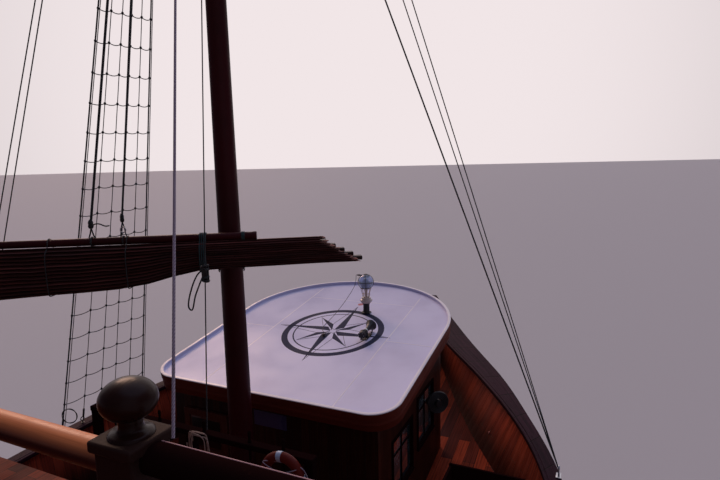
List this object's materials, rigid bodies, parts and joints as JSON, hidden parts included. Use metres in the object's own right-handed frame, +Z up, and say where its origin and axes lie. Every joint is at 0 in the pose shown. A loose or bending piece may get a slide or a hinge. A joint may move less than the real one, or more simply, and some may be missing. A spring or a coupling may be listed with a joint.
{
  "type": "chinese junk ship",
  "caption": "Wooden cruising junk with furled battened sails on raked-in masts, foredeck house with canopy roof, cabins, balustrades, rudder and propeller.",
  "frame": {"origin": "amidships on the centreline at the waterline", "axes": "+X to the bow, +Y to port, +Z up"},
  "size_m": [32, 9.6, 23.53],
  "materials": {
    "topside": "painted planking, dark red-brown, satin",
    "varnish": "dark red varnish, glossy",
    "bulwark": "oiled red-brown boards",
    "deck": "orange teak deck planks",
    "white": "white panel paint, soft gloss",
    "maroon": "dark maroon paint, satin",
    "sailcloth": "tan-bark sailcloth",
    "rope": "tan laid rope",
    "tarred": "dark tarred rope",
    "steel": "brushed steel",
    "bronze": "cast bronze",
    "iron": "black paint on iron",
    "lifebuoy": "orange-red buoy cover",
    "cable": "black rubber sheath"
  },
  "bodies": {
    "hull_body": {"hull": "topside", "engine_block": "iron", "bulwarks": "bulwark", "cap_rail": "varnish", "foredeck_house_aft_wall": "bulwark", "foredeck_house_front_wall": "bulwark", "foredeck_house_port_wall": "bulwark", "foredeck_house_starboard_wall": "bulwark", "canopy_roof": "white", "canopy_fascia": "maroon", "searchlight": "steel", "horn": "iron", "cable_gland": "iron", "searchlight_cable": "cable", "lower_cabin_port_wall": "bulwark", "lower_cabin_starboard_wall": "bulwark", "lower_cabin_front_wall": "bulwark", "lower_cabin_aft_wall": "bulwark", "upper_cabin_port_wall": "bulwark", "upper_cabin_starboard_wall": "bulwark", "upper_cabin_front_wall": "bulwark", "upper_cabin_aft_wall": "bulwark", "upper_deck": "deck", "sundeck": "deck", "sundeck_balustrade": "maroon", "upper_deck_balustrade": "maroon", "pin_rail": "maroon", "halyard_hank": "rope", "foredeck_stair": "maroon", "sundeck_stair": "maroon", "fore_mast": "maroon", "main_mast": "maroon", "mizzen_mast": "maroon", "hatch_coaming": "bulwark", "windlass_frame": "iron", "anchor_port": "iron", "anchor_starboard": "iron", "life_ring": "lifebuoy", "fore_rigging": "tarred", "main_rigging": "tarred", "mizzen_rigging": "tarred"},
    "fore_sail_body": {"fore_battens": "maroon", "fore_sail": "sailcloth", "fore_yard": "maroon"},
    "main_sail_body": {"main_battens": "maroon", "main_sail": "sailcloth", "main_yard": "maroon"},
    "mizzen_sail_body": {"mizzen_battens": "maroon", "mizzen_sail": "sailcloth", "mizzen_yard": "maroon"},
    "rudder_body": {"rudder": "iron"},
    "propeller_body": {"propeller": "bronze"},
    "windlass_drum_body": {"windlass_drum": "iron"},
    "hatch_lid_body": {"hatch_lid": "deck"},
    "house_door_body": {"foredeck_house_door": "varnish"},
    "lower_front_door_body": {"lower_front_door": "varnish"},
    "lower_aft_door_body": {"lower_aft_door": "varnish"},
    "upper_port_door_body": {"upper_port_door": "varnish"},
    "upper_starboard_door_body": {"upper_starboard_door": "varnish"},
    "upper_aft_door_body": {"upper_aft_door": "varnish"}
  },
  "joints": [
    {"name": "fore_sail_swing", "type": "hinge", "parent": "hull_body", "child": "fore_sail_body", "pos_m": [8.195, 0, 7], "axis": [0, 0, 1], "range_deg": [-10, 133]},
    {"name": "main_sail_swing", "type": "hinge", "parent": "hull_body", "child": "main_sail_body", "pos_m": [-2.6, 0, 9.4], "axis": [0, 0, 1], "range_deg": [-75, 75]},
    {"name": "mizzen_sail_swing", "type": "hinge", "parent": "hull_body", "child": "mizzen_sail_body", "pos_m": [-11.9, 0, 7.1], "axis": [0, 0, 1], "range_deg": [-70, 70]},
    {"name": "rudder_steer", "type": "hinge", "parent": "hull_body", "child": "rudder_body", "pos_m": [-13.3, 0, -1], "axis": [0, 0, 1], "range_deg": [-35, 35]},
    {"name": "propeller_spin", "type": "hinge", "parent": "hull_body", "child": "propeller_body", "pos_m": [-11.75, 0, -1.15], "axis": [1, 0, 0], "continuous": true},
    {"name": "windlass_spin", "type": "hinge", "parent": "hull_body", "child": "windlass_drum_body", "pos_m": [14.35, 0, 3.6324], "axis": [0, 1, 0], "continuous": true},
    {"name": "hatch_lid_hinge", "type": "hinge", "parent": "hull_body", "child": "hatch_lid_body", "pos_m": [12.98, 0, 3.4025], "axis": [0, -1, 0], "range_deg": [0, 100]},
    {"name": "house_door_hinge", "type": "hinge", "parent": "hull_body", "child": "house_door_body", "pos_m": [8.774, 1.5, 3.4], "axis": [0, 0, -1], "range_deg": [0, 90]},
    {"name": "lower_front_door_hinge", "type": "hinge", "parent": "hull_body", "child": "lower_front_door_body", "pos_m": [6.606, -0.455, 3], "axis": [0, 0, -1], "range_deg": [0, 90]},
    {"name": "lower_aft_door_hinge", "type": "hinge", "parent": "hull_body", "child": "lower_aft_door_body", "pos_m": [-11.006, 1.33, 2.9], "axis": [0, 0, -1], "range_deg": [0, 90]},
    {"name": "upper_port_door_hinge", "type": "hinge", "parent": "hull_body", "child": "upper_port_door_body", "pos_m": [-0.93, 3.006, 4.9], "axis": [0, 0, 1], "range_deg": [0, 90]},
    {"name": "upper_starboard_door_hinge", "type": "hinge", "parent": "hull_body", "child": "upper_starboard_door_body", "pos_m": [-0.93, -3.006, 4.9], "axis": [0, 0, -1], "range_deg": [0, 90]},
    {"name": "upper_aft_door_hinge", "type": "hinge", "parent": "hull_body", "child": "upper_aft_door_body", "pos_m": [-8.006, -0.455, 4.9], "axis": [0, 0, 1], "range_deg": [0, 90]}
  ]
}
